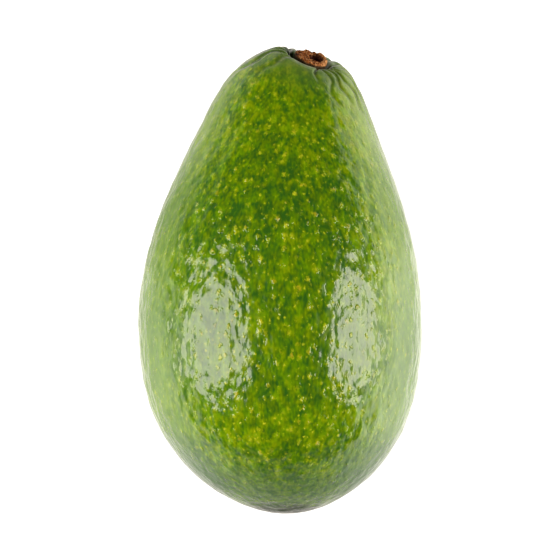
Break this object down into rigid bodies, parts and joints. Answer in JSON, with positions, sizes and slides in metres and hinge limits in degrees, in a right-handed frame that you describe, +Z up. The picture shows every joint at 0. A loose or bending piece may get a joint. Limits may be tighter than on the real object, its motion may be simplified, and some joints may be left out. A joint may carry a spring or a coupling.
{
  "type": "avocado",
  "caption": "Whole ripe-green avocado lying on its side, pear-shaped with a glossy pebbled skin and a dry cork stem button in its neck.",
  "frame": {"origin": "middle of the small flat spot on the underside that the fruit rests on, at floor level", "axes": "+Z up from the resting spot, +Y along the fruit's long axis towards the stem end, +X to the right when seen from above with the stem end at the top"},
  "size_m": [0.0716, 0.1178, 0.0701],
  "materials": {
    "skin": "glossy waxy green fruit skin, mottled, with small raised pebbles and yellow lenticels",
    "cork": "dry granular orange-brown cork, matte"
  },
  "bodies": {
    "root": {"fruit": "skin", "stem_button": "cork"}
  },
  "joints": []
}
